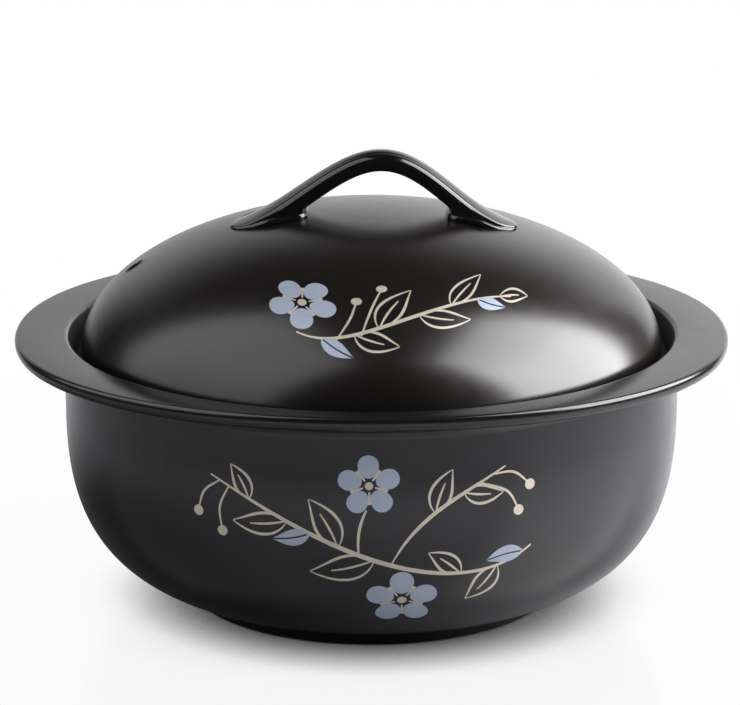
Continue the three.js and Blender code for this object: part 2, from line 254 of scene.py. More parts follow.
def black_glaze(name, glaze, colours, gloss, ripple, ripple_height, mottle):
    """Iron-black glaze over stoneware. gloss is (low, high) roughness and mottle its blots' size.

    It is near black with faint clouds, breaks to warm brown where it ran thin over an edge, and
    stops short of the clay that was wiped for firing, which is matt and sandy. A band of thin
    matt glaze lines the gallery, where a glossy one would stick to the lid, and that band's
    colour is also darkened as painted shade in the gallery's recess.
    """
    material = bpy.data.materials.new(name)
    add = emptied(material)
    place = add("TexCoord", output="Object")
    thin, bare, matt = (
        add("Attribute", output="Fac", attribute_name=title)
        for title in ("thin_glaze", "bare_clay", "matt_and_painted_shade_band")
    )
    clouds, patches, sand, sheen = (
        add("TexNoise", {"Vector": place, "Scale": 1 / size, "Detail": detail, "Roughness": rough})
        for size, detail, rough in (
            (mottle, 4.0, 0.6),
            (5 * MM, 2.0, 0.5),
            (0.6 * MM, 3.0, 0.7),
            (mottle / 3, 2.0, 0.5),
        )
    )
    dark_cloud, pale_cloud, painted_gallery_shade, pale_sand = 0.72, 1.3, 0.6, 1.35
    least_thin, band_dull, clay_dull, glassy = 0.35, 0.8, 0.88, 1.52
    patchy = add("MapRange", {0: patches, 3: least_thin, 4: 1.0})
    ran_thin = add("Math", {0: thin, 1: patchy}, operation="MULTIPLY")
    clays = {0: sand, MIX_A: colours.clay, MIX_B: shaded(colours.clay, pale_sand)}
    fired_clay = add("Mix", clays, MIX_RESULT, data_type="RGBA")
    shade = shaded(glaze, dark_cloud)
    for share, coat in (
        (clouds, shaded(glaze, pale_cloud)),
        (ran_thin, colours.thin),
        # Painted shade: the gallery band's colour is darkened, standing in for the shade in that
        # recess
        (matt, shaded(glaze, painted_gallery_shade)),
        (bare, fired_clay),
    ):
        shade = add("Mix", {0: share, MIX_A: shade, MIX_B: coat}, MIX_RESULT, data_type="RGBA")
    roughness = add("MapRange", {0: sheen, 3: gloss[0], 4: gloss[1]})
    for share, dull in ((matt, band_dull), (bare, clay_dull)):
        roughness = add("Mix", {0: share, 2: roughness, 3: dull})
    relief = glaze_relief(add, place, ripple, ripple_height)
    inputs = {"Base Color": shade, "Roughness": roughness, "Normal": relief, "IOR": glassy}
    add("OutputMaterial", {"Surface": add("BsdfPrincipled", inputs)})
    return material


def bowl_glaze(colours):
    """Semi-gloss black glaze, sprayed on the bowl: deep, a little blue, with a soft sheen."""
    return black_glaze(
        "sprayed_black_stoneware_glaze",
        colours.pot,
        colours,
        gloss=(0.16, 0.24),
        ripple=2.6 * MM,
        ripple_height=0.008 * MM,
        mottle=24 * MM,
    )


def dome_glaze(colours):
    """Satin black glaze on the lid: fine crystals scatter the light into wide soft highlights."""
    return black_glaze(
        "satin_black_stoneware_glaze",
        colours.lid,
        colours,
        gloss=(0.21, 0.27),
        ripple=1.6 * MM,
        ripple_height=0.004 * MM,
        mottle=16 * MM,
    )


def strap_glaze(colours):
    """Thick dipped glaze on the handle: pooled and glassy, with sharp edge highlights."""
    return black_glaze(
        "dipped_black_stoneware_glaze",
        colours.handle,
        colours,
        gloss=(0.07, 0.14),
        ripple=4.0 * MM,
        ripple_height=0.015 * MM,
        mottle=12 * MM,
    )


def fired_film(name, tone, metallic, gloss, wear):
    """A thin fired-on film. wear is how much its tone varies with the screen that laid it."""
    material = bpy.data.materials.new(name)
    add = emptied(material)
    place = add("TexCoord", output="Object")
    cloud, sheen, grain = (
        add("TexNoise", {"Vector": place, "Scale": 1 / size, "Detail": detail, "Roughness": rough})
        for size, detail, rough in ((9 * MM, 4.0, 0.65), (1.5 * MM, 3.0, 0.5), (0.8 * MM, 2.0, 0.5))
    )
    grain_height = 0.01 * MM
    tones = {0: cloud, MIX_A: shaded(tone, 1 - wear), MIX_B: tone}
    inputs = {
        "Base Color": add("Mix", tones, MIX_RESULT, data_type="RGBA"),
        "Roughness": add("MapRange", {0: sheen, 3: gloss[0], 4: gloss[1]}),
        "Normal": add("Bump", {"Height": grain, "Distance": grain_height}),
        "Metallic": metallic,
    }
    add("OutputMaterial", {"Surface": add("BsdfPrincipled", inputs)})
    return material


def lustre_film(colours):
    """Champagne lustre, screened and fired: a thin metal film that mirrors softly."""
    name = "champagne_lustre_film"
    return fired_film(name, colours.lustre, metallic=0.4, gloss=(0.26, 0.4), wear=0.3)


def pearl_enamel(colours):
    """Pale blue enamel with mica, screened and fired: flat colour with a pearly sheen."""
    name = "pale_blue_pearl_enamel"
    return fired_film(name, colours.enamel, metallic=0.3, gloss=(0.3, 0.42), wear=0.18)


def corner_arcs(corners, steps=5):
    """An outline with its corners rounded.

    Each corner is (radius, height, rounding). A rounded corner becomes an arc that runs into both
    of its sides without a kink, at rounding / tan(half of the angle between them) from the corner.
    """
    points = np.array([corner[:2] for corner in corners], float)
    outline = [points[:1]]
    straight = 0.01
    for index in range(1, len(corners) - 1):
        corner = points[index]
        rounding = corners[index][2]
        before = points[index - 1] - corner
        after = points[index + 1] - corner
        before /= np.linalg.norm(before)
        after /= np.linalg.norm(after)
        half = math.acos(np.clip(before @ after, -1, 1)) / 2
        turn = math.pi - 2 * half
        if rounding <= 0 or turn < straight:
            outline.append(points[index:index + 1])
            continue
        middle = before + after
        centre = corner + middle / np.linalg.norm(middle) * rounding / math.sin(half)
        start = corner + before * rounding / math.tan(half) - centre
        end = corner + after * rounding / math.tan(half) - centre
        share = np.linspace(0, 1, steps + 1)[:, None]
        arc = (np.sin((1 - share) * turn) * start + np.sin(share * turn) * end) / math.sin(turn)
        outline.append(centre + arc)
    outline.append(points[-1:])
    return np.concatenate(outline)


def looped(ids, axis=1):
    """A grid of point numbers that comes round to its first column again, or its first row."""
    return np.concatenate([ids, ids.take([0], axis)], axis)


def grid_quads(ids):
    """The quads between neighbours in a grid of point numbers, by row and column."""
    return np.stack([ids[:-1, :-1], ids[1:, :-1], ids[1:, 1:], ids[:-1, 1:]], -1)


def capped_tube(rings, ends):
    """A closed skin from a grid of points, by ring and place round it, and a point at each end.

    Returns the points with the two ends last, the quads by ring and place, and the triangles
    that fan out from the ends.
    """
    ids = looped(np.arange(rings.shape[0] * rings.shape[1]).reshape(rings.shape[:2]))
    first_end = np.full(rings.shape[1], rings.shape[0] * rings.shape[1])
    start_fan = np.stack([first_end, ids[0, :-1], ids[0, 1:]], -1)
    end_fan = np.stack([first_end + 1, ids[-1, 1:], ids[-1, :-1]], -1)
    points = np.concatenate([rings.reshape(-1, 3), ends])
    return points, grid_quads(ids), np.concatenate([start_fan, end_fan])


def turned(profile, turns):
    """A capped tube turned about Z from a profile that starts and ends on the axis.

    A profile point (r, z) gives the ring (r cos a, r sin a, z).
    """
    angle = np.arange(turns) * 2 * math.pi / turns
    r, z = (column[:, None] for column in profile[1:-1].T)
    rings = np.stack(np.broadcast_arrays(r * np.cos(angle), r * np.sin(angle), z), -1)
    return capped_tube(rings, [[0, 0, profile[0, 1]], [0, 0, profile[-1, 1]]])


def edge_share(profile, sharpest):
    """How far each profile point lies on a convex edge, from 0 to 1.

    It is the turn of the outline at the point over the length beside it, a curvature, as a
    share of the curvature of an arc with the sharpest radius. The sign of the outline's area
    tells which way is convex.
    """
    step = np.diff(profile, axis=0)
    heading = np.unwrap(np.arctan2(step[:, 1], step[:, 0]))
    span = np.linalg.norm(step, axis=1)
    bend = np.zeros(len(profile))
    bend[1:-1] = np.diff(heading) / np.maximum((span[1:] + span[:-1]) / 2, MM / 10)
    r, z = profile.T
    area = np.sum(r * np.roll(z, -1) - np.roll(r, -1) * z)
    return np.clip(bend * np.sign(area) * sharpest, 0, 1)


def signed_volume(points, triangles):
    """Six times the volume of a closed skin, positive where its faces point outwards."""
    a, b, c = (points[triangles[:, corner]] for corner in range(3))
    return float(np.einsum("ij,ij->", a, np.cross(b, c)))


def in_scene(name, data):
    """A new object of the scene, at the origin."""
    made = bpy.data.objects.new(name, data)
    bpy.context.scene.collection.objects.link(made)
    return made


def make_piece(name, points, quads, triangles=(), marks=None):
    """Puts a closed skin into a new object, smooth, with its faces outwards.

    marks maps the name of a point attribute to its values.
    """
    quads = np.reshape(quads, (-1, 4))
    fans = np.reshape(triangles, (-1, 3)).astype(int)
    halves = np.concatenate([quads[:, [0, 1, 2]], quads[:, [0, 2, 3]], fans])
    if signed_volume(points, halves) < 0:
        quads = quads[:, ::-1]
        fans = fans[:, ::-1]
    corners = np.concatenate([quads.ravel(), fans.ravel()])
    used, renumbered = np.unique(corners, return_inverse=True)
    quads = renumbered[:quads.size].reshape(-1, 4)
    fans = renumbered[quads.size:].reshape(-1, 3)
    mesh = bpy.data.meshes.new(name)
    mesh.from_pydata(points[used].tolist(), [], quads.tolist() + fans.tolist())
    mesh.shade_smooth()
    for title, values in (marks or {}).items():
        attribute = mesh.attributes.new(title, "FLOAT", "POINT")
        attribute.data.foreach_set("value", np.asarray(values, np.float32)[used])
    return in_scene(name, mesh)


def seat_piece(piece, body, material, nodes=()):
    """Rides a piece on its body, hides the nodes it stands for, and glazes it."""
    piece.data.materials.append(material)
    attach(piece, body)
    if nodes:
        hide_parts(*nodes)


def step_up(value, low, high):
    """0 below low, 1 above high, and 3s^2 - 2s^3 between them."""
    share = np.clip((value - low) / (high - low), 0, 1)
    return share * share * (3 - 2 * share)


def heel_run(pot, radius, floor_height, from_turn, to_turn, steps=44):
    """The bowl's curve: r = R cos(t)^(2/p), z = shoulder - depth sin(t)^(2/q), t in degrees."""
    turn = np.radians(np.linspace(from_turn, to_turn, steps + 1))
    shoulder = pot.rim_height - pot.straight_wall
    side = np.clip(np.cos(turn), 0, 1) ** (2 / pot.heel_side)
    fall = np.sin(turn) ** (2 / pot.heel_floor)
    return np.stack([radius * side, shoulder - (shoulder - floor_height) * fall], -1)


def outer_heel(pot):
    """The bowl's outside from the foot of its upright wall to the top of the foot ring."""
    foot_share = (pot.foot_radius / pot.bowl_radius) ** (pot.heel_side / 2)
    last_turn = math.degrees(math.acos(foot_share))
    return heel_run(pot, pot.bowl_radius, pot.heel_datum, 0, last_turn)


def rim_corners(pot):
    """Corners from the bowl's inner wall up over the gallery and the flange to the outer wall."""
    gallery = pot.bowl_radius - pot.gallery_wall
    ledge = gallery - pot.ledge_width
    ledge_height = pot.rim_height - pot.ledge_depth
    under_ledge = ledge_height - pot.ledge_thickness
    inner = pot.bowl_radius - pot.wall
    shoulder = pot.rim_height - pot.straight_wall
    return [
        (inner, shoulder, 0),
        (inner, under_ledge - pot.bracket, pot.root_fillet),
        (ledge, under_ledge, pot.glaze_rounding),
        (ledge, ledge_height, pot.glaze_rounding),
        (gallery, ledge_height, pot.gallery_fillet),
        (gallery + pot.gallery_flare, pot.rim_height, pot.opening_rounding),
        (pot.lip_radius, pot.rim_height, pot.lip_top),
        (pot.lip_radius, pot.rim_height - pot.rim_thickness, pot.lip_under),
        (pot.bowl_radius, pot.rim_height - pot.root_thickness, pot.root_fillet),
        (pot.bowl_radius, shoulder, 0),
    ]


def foot_corners(pot, top):
    """Corners from the heel round the foot ring to the middle of the recess under the pot."""
    outside = pot.foot_radius - pot.foot_taper
    inside = outside - pot.foot_width
    return [
        (top[0], top[1], 0),
        (outside, 0, pot.glaze_rounding),
        (inside, 0, pot.glaze_rounding),
        (inside - pot.glaze_rounding, pot.foot_recess, pot.glaze_rounding),
        (0, pot.foot_recess, 0),
    ]


def pot_profile(pot):
    """The pot's section, from the middle of its inner floor over the rim to the middle below."""
    inside = heel_run(pot, pot.bowl_radius - pot.wall, pot.foot_recess + pot.floor, 90, 0)
    inside[0, 0] = 0
    outside = outer_heel(pot)
    rim = corner_arcs(rim_corners(pot), steps=8)
    foot = corner_arcs(foot_corners(pot, outside[-1]), steps=4)
    return np.concatenate([inside, rim[1:-1], outside, foot[1:]])


def draw_out_rim(pot, points):
    """Draws the flange out to the oval |x/a|^p + |y/b|^p = 1, which makes its two ears.

    Nothing moves inside the root fillet, and the rounded lip moves whole.
    """
    radius = np.hypot(points[:, 0], points[:, 1])
    bearing = np.arctan2(points[:, 1], points[:, 0])
    way = np.stack([np.cos(bearing), np.sin(bearing)], -1)
    half_axes = (pot.lip_radius + pot.ear_length, pot.lip_radius)
    reach = np.sum(np.abs(way / half_axes) ** pot.rim_power, axis=1) ** (-1 / pot.rim_power)
    still = pot.bowl_radius + pot.root_fillet
    carried = pot.lip_radius - max(pot.lip_top, pot.lip_under)
    share = np.clip((radius - still) / (carried - still), 0, 1)
    drawn = points.copy()
    drawn[:, :2] += way * (share * (reach - pot.lip_radius))[:, None]
    return drawn


def pot_marks(pot, profile, points):
    """Where the pot's glaze is thin, wiped off or matt, from 0 to 1 at its round points.

    It ran thin on tight edges, was wiped off the foot ring's standing face, and is matt in the
    gallery down to just below the ledge. There the glaze's colour is also darkened as painted
    shade.
    """
    thin_radius, below_ledge = 2.5 * MM, 1 * MM
    wiped, glazed = 0.3 * MM, 0.7 * MM
    glossy, matt = 0.5 * MM, 2 * MM
    radius = np.hypot(points[:, 0], points[:, 1])
    down = pot.rim_height - points[:, 2]
    gallery = pot.bowl_radius - pot.gallery_wall
    ledge_edge = gallery - pot.ledge_width + pot.glaze_rounding / 2
    in_gallery = (radius > ledge_edge) * (radius < gallery + pot.gallery_flare)
    standing = (1 - step_up(points[:, 2], wiped, glazed)) * (radius > pot.foot_radius / 2)
    edges = np.repeat(edge_share(profile, thin_radius)[1:-1], pot.turns)
    return {
        "thin_glaze": np.append(edges, [0, 0]),
        "bare_clay": standing,
        # The gallery band is matt, and the glaze also darkens its colour there as painted shade
        "matt_and_painted_shade_band": step_up(down, glossy, matt) * in_gallery * (down < pot.ledge_depth + below_ledge),
    }


class CASSEROLE_OT_pot(bpy.types.Operator):
    """Turns the glazed bowl with its gallery and foot ring, and draws its rim out to two ears"""

    bl_idname = "casserole.pot"
    bl_label = "Pot"

    def execute(self, context):
        pot = context.scene.casserole_pot
        profile = pot_profile(pot)
        round_points, quads, fans = turned(profile, pot.turns)
        marks = pot_marks(pot, profile, round_points)
        piece = make_piece("glazed_pot", draw_out_rim(pot, round_points), quads, fans, marks)
        material = bowl_glaze(context.scene.casserole_colours)
        seat_piece(piece, "pot", material, ["pot_body"])
        return {"FINISHED"}


def quarter_dome(lid, radius, span, wall):
    """Height widest + rise sqrt(1 - (r / span)^2) of a quarter ellipse, a wall below the lid's top."""
    widest = lid.ring_bottom + lid.ring_depth + lid.edge_height
    return widest + (lid.top - wall - widest) * np.sqrt(np.clip(1 - (radius / span) ** 2, 0, 1))


def dome_height(lid, radius):
    """Height of the dome's outside."""
    return quarter_dome(lid, radius, lid.radius, 0)


def hollow_height(lid, radius):
    """Height of the dome's inside."""
    return quarter_dome(lid, radius, lid.ring_radius - lid.ring_width, lid.wall)


def outer_dome(lid, steps=78):
    """The dome's outside from the lid's edge to its top."""
    radius = lid.radius * np.cos(np.linspace(0, math.pi / 2, steps + 1))
    radius[-1] = 0
    return np.stack([radius, dome_height(lid, radius)], -1)


def inner_dome(lid, steps=52):
    """The dome's inside from its top to the locating ring."""
    inside = lid.ring_radius - lid.ring_width
    radius = inside * np.sin(np.linspace(0, math.pi / 2, steps + 1))
    return np.stack([radius, hollow_height(lid, radius)], -1)


def lid_profile(lid):
    """The lid's section from the middle of its inside, round its edge, to its top."""
    seat = lid.ring_bottom + lid.ring_depth
    widest = seat + lid.edge_height
    inside = lid.ring_radius - lid.ring_width
    edge_rounding_share = 0.98
    corners = [
        (inside, widest, 0),
        (inside, lid.ring_bottom, lid.ring_rounding),
        (lid.ring_radius, lid.ring_bottom, lid.ring_rounding),
        (lid.ring_radius, seat, lid.ring_rounding / 2),
        (lid.radius, seat, lid.edge_height * edge_rounding_share),
        (lid.radius, widest, 0),
    ]
    return np.concatenate([inner_dome(lid), corner_arcs(corners)[1:-1], outer_dome(lid)])


def vent_rings(lid, centre, outer, inner):
    """Rings of points from a hole's edge in the dome's outside, down the bore, to its inside.

    Each ring's plan is centre + distance * spoke. The ground runs in to a circle on the dome.
    The gathered glaze is a bell curve in the distance, the edge rolls over by a quarter
    circle, and the bore drops straight to the inside, where the ring runs out to the hole.
    """
    bell_width = 1.2 * MM
    spoke = outer[:, :2] - centre
    far = np.linalg.norm(spoke, axis=1)
    spoke /= far[:, None]
    rim = lid.vent_radius + lid.vent_roll
    turn = np.linspace(0, math.pi / 2, 7)
    ground = lid.vent_reach + (far - lid.vent_reach) * np.linspace(1, 0, 5)[1:-1, None]
    slope = np.linspace(lid.vent_reach, rim, 9)[:-1]
    roll = rim - lid.vent_roll * np.sin(turn)
    circles = np.repeat(np.concatenate([slope, roll])[:, None], len(far), 1)
    distance = np.concatenate([ground, circles])
    plan = centre + spoke * distance[..., None]
    height = dome_height(lid, np.linalg.norm(plan, axis=-1))
    height += lid.vent_lip * np.exp(-(((distance - rim) / bell_width) ** 2))
    height[-len(turn):] -= lid.vent_roll * (1 - np.cos(turn))[:, None]
    upper = np.concatenate([plan, height[..., None]], -1)
    foot = np.column_stack([plan[-1], hollow_height(lid, np.linalg.norm(plan[-1], axis=-1))])
    share = np.linspace(0, 0.9, 4)[1:, None, None]
    bore = upper[-1] * (1 - share) + foot * share
    spill = foot * (1 - share) + inner * share
    spill[..., 2] = hollow_height(lid, np.linalg.norm(spill[..., :2], axis=-1))
    return np.concatenate([upper, bore, foot[None], spill])


def pierce_lid(lid, profile, points, quads):
    """Leaves a block of faces out of the dome's two sides and joins the holes through a vent."""
    ids = np.arange((len(profile) - 2) * lid.turns).reshape(-1, lid.turns)
    radii = profile[1:-1, 0]
    vent_place = lid.radius - lid.vent_inset
    centre = np.array([-vent_place, 0])
    widest = int(np.argmax(radii))
    column = lid.turns // 2
    down, across = 5, 4
    kept = np.ones(quads.shape[:2], bool)
    holes = []
    for rows in (slice(0, widest), slice(widest, len(radii))):
        row = rows.start + int(np.argmin(np.abs(radii[rows] - vent_place)))
        kept[row - down:row + down, column - across:column + across] = False
        block = ids[row - down:row + down + 1, column - across:column + across + 1]
        edge = np.concatenate([block[0], block[-1], block[1:-1, 0], block[1:-1, -1]])
        spoke = points[edge, :2] - centre
        holes.append(edge[np.argsort(np.arctan2(spoke[:, 1], spoke[:, 0]))])
    under, over = holes
    rings = vent_rings(lid, centre, points[over], points[under])
    new = len(points) + np.arange(rings.shape[0] * rings.shape[1]).reshape(rings.shape[:2])
    wall = grid_quads(looped(np.concatenate([over[None], new, under[None]]))).reshape(-1, 4)
    return np.concatenate([points, rings.reshape(-1, 3)]), np.concatenate([quads[kept], wall])


class CASSEROLE_OT_lid(bpy.types.Operator):
    """Turns the domed lid with its locating ring and pierces its vent"""

    bl_idname = "casserole.lid"
    bl_label = "Lid"

    def execute(self, context):
        lid = context.scene.casserole_lid
        thin_radius, seat_margin = 1.5 * MM, 0.1 * MM
        profile = lid_profile(lid)
        round_points, quads, fans = turned(profile, lid.turns)
        points, faces = pierce_lid(lid, profile, round_points, quads)
        edges = np.repeat(edge_share(profile, thin_radius)[1:-1], lid.turns)
        off_seat = np.abs(points[:, 2] - lid.ring_bottom - lid.ring_depth)
        radius = np.hypot(points[:, 0], points[:, 1])
        marks = {
            "thin_glaze": np.append(edges, np.zeros(len(points) - len(edges))),
            "bare_clay": (off_seat < seat_margin) * (radius > lid.ring_radius),
        }
        piece = make_piece("glazed_lid", points, faces, fans, marks)
        material = dome_glaze(context.scene.casserole_colours)
        seat_piece(piece, "lid", material, ["lid_shell"])
        return {"FINISHED"}


def arch_share(handle, along):
    """1 at the crown and 0 at the toes: (1 + cos(2 pi a / span)) / 2."""
    return (1 + np.cos(2 * math.pi * along / handle.span)) / 2


def foot_places(handle):
    """How far from the handle's middle a foot starts, and its toe."""
    return handle.span / 2 - handle.foot_length, handle.span / 2 - handle.toe_length


def handle_stations(handle):
    """Places along the handle from toe to toe, close together at the coves and the toes."""
    foot_start, toe_start = foot_places(handle)
    cove_start = foot_start - handle.cove
    arch = np.linspace(0, cove_start, 45)[:-1]
    cove = cove_start + handle.cove * np.sin(np.linspace(0, math.pi / 2, 9))
    face = foot_start + handle.foot_face * np.array([0.35, 0.65, 1.0])
    foot = np.linspace(foot_start + handle.foot_face, toe_start, 26)[1:-1]
    toe = toe_start + handle.toe_length * np.sin(np.linspace(0, TOE_TURN, 26))
    half = np.concatenate([arch, cove, face, foot, toe])
    return np.concatenate([-half[:0:-1], half])


def strap_lines(handle, lid, along):
    """Height over the dome, top, underside, two half-widths and share on a foot, along the handle.

    The top is the dome plus a raised cosine, and drops to the dome round the toe by the root
    of sqrt(1 - t^2). The underside is a strap's thickness below, square to the strap, and
    turns down by a quarter circle at the cove.
    """
    distance = np.abs(along)
    foot_start, toe_start = foot_places(handle)
    toe = np.sqrt(1 - np.clip((distance - toe_start) / handle.toe_length, 0, 1) ** 2)
    swell = handle.rise - handle.toe_thickness
    height = (handle.toe_thickness + swell * arch_share(handle, along)) * np.sqrt(toe)
    crown = dome_height(lid, distance) + height
    dome_rise = lid.top - dome_height(lid, lid.radius)
    arch_slope = -swell * math.pi * np.sin(2 * math.pi * along / handle.span) / handle.span
    fall = dome_rise * along / (lid.radius * np.sqrt(lid.radius ** 2 - along ** 2))
    into_cove = np.clip(distance - foot_start + handle.cove, 0, handle.cove)
    drop = handle.cove - np.sqrt(handle.cove ** 2 - into_cove ** 2)
    under = crown - handle.thickness * np.hypot(1, arch_slope - fall) - drop
    flare_start = foot_start - handle.cove - handle.toe_length
    spread = (handle.foot_top - handle.width) * step_up(distance, 0, toe_start)
    flare = (handle.foot_base - handle.width) * step_up(distance, flare_start, toe_start)
    top = (handle.width + spread) / 2 * toe
    base = (handle.width + flare) / 2 * toe
    on_foot = step_up(distance, foot_start, foot_start + handle.foot_face)
    return height, crown, under, top, top + (base - top) * on_foot, on_foot


def handle_skin(handle, lid):
    """Upright sections across the handle, as a grid of points: station by place round the section.

    Each half runs from the underside's middle out to a rounded lower edge, up the side, where
    reach = top + (base - top)(1 - s)^3 sweeps out to the dome, round the upper edge by a
    quarter circle and in along the crown, a parabola. The other half is its mirror.
    """
    along = handle_stations(handle)
    height, crown, under, top, base, on_foot = (
        line[:, None] for line in strap_lines(handle, lid, along)
    )
    foot_sharpness, least_side = 0.85, 0.05 * MM
    place = (along + handle.offset + handle.lean * arch_share(handle, along))[:, None]
    rounding = np.minimum(handle.top_rounding, np.minimum(height, top) / 2)
    drop = handle.crown * (2 * top / handle.width) ** 2
    lower = np.minimum(handle.under_rounding, base / 2) * (1 - foot_sharpness * on_foot)

    def ground(reach):
        dome = dome_height(lid, np.hypot(place, reach)) - handle.sink
        return under * (1 - on_foot) + (dome - lower) * on_foot

    quarter = np.linspace(0, math.pi / 2, 9)
    flat = (base - lower) * np.linspace(0, 1, 9)[:-1]
    turn_out = base - lower + lower * np.sin(quarter)
    side_share = np.linspace(0, 1, 13)[1:]
    side = top + (base - top) * (1 - side_share) ** 3
    side_foot = ground(base) + lower
    shoulder = np.maximum(crown - drop - rounding, side_foot + least_side)
    turn_in = top - rounding * (1 - np.cos(quarter[1:]))
    inward = (top - rounding) * np.linspace(1, 0, 9)[1:]
    levels = [
        ground(flat),
        ground(base) + lower * (1 - np.cos(quarter)),
        side_foot + (shoulder - side_foot) * side_share,
        shoulder + (crown - drop - shoulder) * np.sin(quarter[1:]),
        crown - drop * (inward / np.maximum(top - rounding, MM / 100)) ** 2,
    ]
    reach = np.concatenate([flat, turn_out, side, turn_in, inward], 1)
    level = np.concatenate(levels, 1)
    reach = np.concatenate([reach, -reach[:, -2:0:-1]], 1)
    level = np.concatenate([level, level[:, -2:0:-1]], 1)
    return np.stack([np.broadcast_to(place, reach.shape), reach, level], -1)


def foot_outline(handle, lid):
    """The plan of the right foot, as a closed loop of (along, across) that turns to the left.

    It starts in the middle of the inner face, goes round a small corner and along the side,
    whose half-width is the strap's base, to the toe's tip, and back along the mirror.
    """
    foot_start, toe_start = foot_places(handle)
    toe = toe_start + handle.toe_length * np.sin(np.linspace(0, TOE_TURN, 14))
    along = np.concatenate([np.linspace(foot_start + handle.foot_face, toe_start, 24)[:-1], toe])
    across = strap_lines(handle, lid, along)[4]
    past_corner = 5
    side = [(a, b, 0) for a, b in zip(along[past_corner:], across[past_corner:])]
    corner = [(foot_start, 0, 0), (foot_start, across[0], handle.foot_corner)]
    half = corner_arcs(corner + side)
    return np.concatenate([half, half[-1:0:-1] * [1, -1]])[::-1]


def slip_fillet(handle, lid, way):
    """A concave ring of slip round a foot, as a grid of points: outline by place in the section.

    Its section is a quarter circle that hollows in from the dome to the foot's side: out
    h(1 - sin t) and up h(1 - cos t). It closes inside the foot. h is the fillet's size, or half
    of the foot's height where that is less. way is 1 for the right foot and -1 for the left.
    """
    sink, inside, upper_inside, lower_inside = 0.03 * MM, -0.6, 0.9, -0.3
    outline = foot_outline(handle, lid)
    ahead = np.roll(outline, -1, axis=0) - np.roll(outline, 1, axis=0)
    outward = np.stack([-ahead[:, 1], ahead[:, 0]], -1) / np.linalg.norm(ahead, axis=1)[:, None]
    height = strap_lines(handle, lid, outline[:, 0])[0]
    size = np.minimum(handle.fillet, height / 2)[:, None]
    turn = np.linspace(0, math.pi / 2, 9)
    out = np.concatenate([1 - np.sin(turn), [inside, inside]]) * size
    rise = np.concatenate([1 - np.cos(turn), [upper_inside, lower_inside]]) * size
    plan = outline[:, None] + outward[:, None] * out[..., None]
    x = way * plan[..., 0] + handle.offset + handle.lean * arch_share(handle, plan[..., 0])
    y = plan[..., 1]
    z = dome_height(lid, np.hypot(x, y)) + rise - sink
    return np.stack([x, y, z], -1)


class CASSEROLE_OT_handle(bpy.types.Operator):
    """Lofts the strap handle, lets its spread feet into the dome and seals them with slip"""

    bl_idname = "casserole.handle"
    bl_label = "Handle"

    def execute(self, context):
        handle, lid = context.scene.casserole_handle, context.scene.casserole_lid
        grid = handle_skin(handle, lid)
        points, quads, fans = capped_tube(grid, grid[[0, -1]].mean(axis=1))
        # Each quad is counted the other way round, which sets the diagonal that it splits along
        piece = make_piece("glazed_handle", points, quads[..., [0, 3, 2, 1]], fans[:, ::-1])
        material = strap_glaze(context.scene.casserole_colours)
        seat_piece(piece, "lid", material, ["lid_handle"])
        for name, way in (("right_slip_fillet", 1), ("left_slip_fillet", -1)):
            ring = slip_fillet(handle, lid, way)
            ids = np.arange(ring.shape[0] * ring.shape[1]).reshape(ring.shape[:2])
            piece = make_piece(name, ring.reshape(-1, 3), grid_quads(looped(looped(ids), 0)))
            seat_piece(piece, "lid", material)
        return {"FINISHED"}


def curve(points, count=40):
    """A cubic curve between two ends a and d with handles b and c, in millimetres.

    It is (1-t)^3 a + 3(1-t)^2 t b + 3(1-t) t^2 c + t^3 d.
    """
    a, b, c, d = (np.array(point, float) for point in points)
    t = np.linspace(0, 1, count)[:, None]
    return (1 - t) ** 3 * a + 3 * (1 - t) ** 2 * t * b + 3 * (1 - t) * t ** 2 * c + t ** 3 * d


def unit_way(bearing):
    """A flat unit way, with its bearing in degrees to the left of u."""
    return np.array([math.cos(math.radians(bearing)), math.sin(math.radians(bearing))])


def to_left(line):
    """Unit directions to the left of a line's way."""
    way = np.gradient(line, axis=0)
    way /= np.linalg.norm(way, axis=1)[:, None]
    return np.stack([-way[:, 1], way[:, 0]], -1)


def band(line, left, right, columns=3):
    """A flat grid between two offsets from a line, counted to its left."""
    share = np.linspace(0, 1, columns)
    offset = left[:, None] * (1 - share) + right[:, None] * share
    return line[:, None] + to_left(line)[:, None] * offset[..., None]


def stroke(line, width, ends=0.3):
    """A brushed line: its half-width swells as a half sine from a share of it at both ends."""
    swell = np.sin(np.linspace(0, math.pi, len(line)))
    half = width / 2 * (ends + (1 - ends) * swell)
    return band(line, half, -half)


def leaf_spine(base, heading, size, bend, count=36):
    """A leaf's midline: a parabola that starts along heading, in degrees, and bends to a side."""
    way = unit_way(heading)
    side = np.array([-way[1], way[0]])
    t = np.linspace(0, 1, count)[:, None]
    return np.array(base, float) + size * (t * way + bend * t ** 2 * side)


def lens(count, width, fullness=0.8):
    """Half-widths of a leaf: width / 2 times sin(pi t^fullness), pointed at both ends."""
    t = np.linspace(0.01, 0.99, count)
    return width / 2 * np.sin(math.pi * t ** fullness)


def drawn_leaf(base, heading, size, width, bend, line_width=1.2, rib_share=0.72):
    """A leaf in outline: two brushed edges and a short thinner midrib."""
    spine = leaf_spine(base, heading, size, bend)
    offset = to_left(spine) * lens(len(spine), width)[:, None]
    rib = spine[:int(len(spine) * rib_share)]
    edges = [stroke(spine + offset, line_width), stroke(spine - offset, line_width)]
    return [*edges, stroke(rib, line_width * 0.8, ends=0.5)]


def solid_leaf(base, heading, size, width, bend, rib=0.7, least=0.05):
    """A filled leaf in two halves, with the glaze left bare between them as its midrib."""
    spine = leaf_spine(base, heading, size, bend)
    half = np.maximum(lens(len(spine), width), rib / 2 + least)
    gap = np.full(len(spine), rib / 2)
    return [band(spine, half, gap, 5), band(spine, -gap, -half, 5)]


